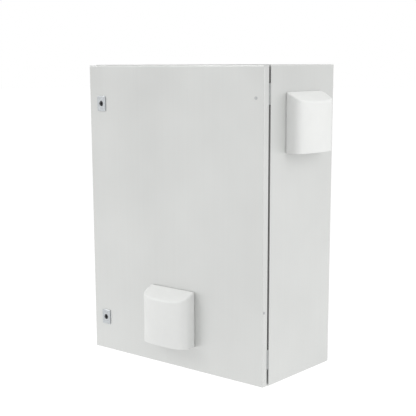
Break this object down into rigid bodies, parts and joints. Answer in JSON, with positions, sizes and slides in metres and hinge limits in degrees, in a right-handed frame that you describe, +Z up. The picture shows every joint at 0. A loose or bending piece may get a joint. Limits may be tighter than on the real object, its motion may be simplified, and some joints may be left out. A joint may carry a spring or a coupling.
{
  "type": "automatic transfer switch",
  "caption": "Wall enclosure with a right-hung door and two rain hoods, holding a transfer switch, its controller, breakers, bars and a filter fan.",
  "frame": {"origin": "centre of the four wall fixing holes on the outside of the back wall", "axes": "+Z up along the height, +X to the right seen from the front, -Y out of the door and +Y into the wall"},
  "size_m": [0.652, 0.352, 0.8],
  "materials": {
    "body_steel": "brushed stainless steel, satin",
    "door_steel": "brushed stainless steel, satin",
    "zinc": "zinc plated steel",
    "hinge_steel": "dark zinc plated hinge casting",
    "galvanised": "galvanised sheet with a faint spangle",
    "lock_chrome": "satin chrome die casting",
    "hood_plastic": "light grey weatherproof moulding",
    "vent_plastic": "light grey moulding",
    "filter_fleece": "bonded white fleece",
    "dark_plastic": "charcoal moulding with fine grain",
    "grey_plastic": "mid grey moulding",
    "light_plastic": "light moulding",
    "seal_rubber": "black foam rubber",
    "busbar_copper": "rolled copper",
    "insulator_resin": "red brown cast resin",
    "handle_red": "red moulding",
    "display_window": "tinted clear window",
    "button_green": "green button",
    "button_yellow": "yellow button",
    "relay_blue": "blue grey moulding",
    "terminal_grey": "grey polyamide"
  },
  "bodies": {
    "enclosure": {"enclosure_shell": "body_steel", "gland_plate": "galvanised", "gland_gasket": "seal_rubber", "gland_screws": "zinc", "mounting_plate": "galvanised", "plate_nuts": "zinc", "hinge_frame_leaves": "hinge_steel", "hinge_pins": "hinge_steel", "hinge_screws": "zinc", "side_hood": "hood_plastic", "side_hood_frame": "vent_plastic", "side_grille": "vent_plastic", "side_filter_mat": "filter_fleece", "side_hood_screws": "zinc", "fan_frame": "dark_plastic", "fan_guard": "zinc", "din_rails": "zinc", "wiring_ducts": "grey_plastic", "duct_covers": "grey_plastic", "switch_base": "dark_plastic", "switch_cover": "grey_plastic", "operator_case": "dark_plastic", "source_1_terminals": "busbar_copper", "source_2_terminals": "busbar_copper", "load_terminals": "busbar_copper", "busbar_bolts": "zinc", "phase_barriers": "dark_plastic", "controller_case": "dark_plastic", "controller_window": "display_window", "mains_breaker_case": "light_plastic", "generator_breaker_case": "light_plastic", "relays": "relay_blue", "terminal_blocks": "terminal_grey", "bar_insulators": "insulator_resin", "neutral_bar": "busbar_copper", "earth_bar": "busbar_copper"},
    "door": {"door_panel": "door_steel", "door_gasket": "seal_rubber", "door_stiffeners": "galvanised", "hinge_door_leaves": "hinge_steel", "lock_housings": "lock_chrome", "lock_nuts": "zinc", "door_hood": "hood_plastic", "door_hood_frame": "vent_plastic", "door_grille": "vent_plastic", "door_filter_mat": "filter_fleece", "door_hood_screws": "zinc", "document_pocket": "grey_plastic", "blind_plugs": "grey_plastic"},
    "upper_lock": {"upper_lock_core": "dark_plastic", "upper_lock_cam": "zinc"},
    "lower_lock": {"lower_lock_core": "dark_plastic", "lower_lock_cam": "zinc"},
    "fan_rotor": {"fan_rotor": "dark_plastic"},
    "operating_handle": {"operating_handle": "handle_red"},
    "contact_shaft": {"contact_shaft": "light_plastic"},
    "mains_toggle": {"mains_breaker_toggle": "dark_plastic"},
    "generator_toggle": {"generator_breaker_toggle": "dark_plastic"},
    "mode_button": {"mode_button": "button_green"},
    "test_button": {"test_button": "button_yellow"}
  },
  "joints": [
    {"name": "door_swing", "type": "hinge", "parent": "enclosure", "child": "door", "pos_m": [0.298, -0.278, 0], "axis": [0, 0, 1], "range_deg": [0, 120]},
    {"name": "upper_lock_turn", "type": "hinge", "parent": "door", "child": "upper_lock", "pos_m": [-0.253, -0.29, 0.296], "axis": [0, 1, 0], "range_deg": [0, 90]},
    {"name": "lower_lock_turn", "type": "hinge", "parent": "door", "child": "lower_lock", "pos_m": [-0.253, -0.29, -0.305], "axis": [0, 1, 0], "range_deg": [0, 90]},
    {"name": "fan_spin", "type": "hinge", "parent": "enclosure", "child": "fan_rotor", "pos_m": [0.272, -0.135, 0.259], "axis": [1, 0, 0], "continuous": true},
    {"name": "handle_turn", "type": "hinge", "parent": "enclosure", "child": "operating_handle", "pos_m": [0, -0.19, 0.11], "axis": [0, 1, 0], "range_deg": [0, 80]},
    {"name": "contact_turn", "type": "hinge", "parent": "enclosure", "child": "contact_shaft", "pos_m": [0, -0.095, 0.11], "axis": [1, 0, 0], "range_deg": [-80, 0]},
    {"name": "mains_breaker_turn", "type": "hinge", "parent": "enclosure", "child": "mains_toggle", "pos_m": [-0.196, -0.088, 0.29], "axis": [1, 0, 0], "range_deg": [0, 70]},
    {"name": "generator_breaker_turn", "type": "hinge", "parent": "enclosure", "child": "generator_toggle", "pos_m": [-0.156, -0.088, 0.29], "axis": [1, 0, 0], "range_deg": [0, 70]},
    {"name": "mode_press", "type": "slide", "parent": "enclosure", "child": "mode_button", "axis": [0, 1, 0], "range_m": [0, 0.003], "stiffness_N_per_m": 300, "springref_m": -0.001},
    {"name": "test_press", "type": "slide", "parent": "enclosure", "child": "test_button", "axis": [0, 1, 0], "range_m": [0, 0.003], "stiffness_N_per_m": 300, "springref_m": -0.001}
  ],
  "couplings": [
    {"joint": "contact_turn", "follows": "handle_turn", "ratio": -1}
  ]
}
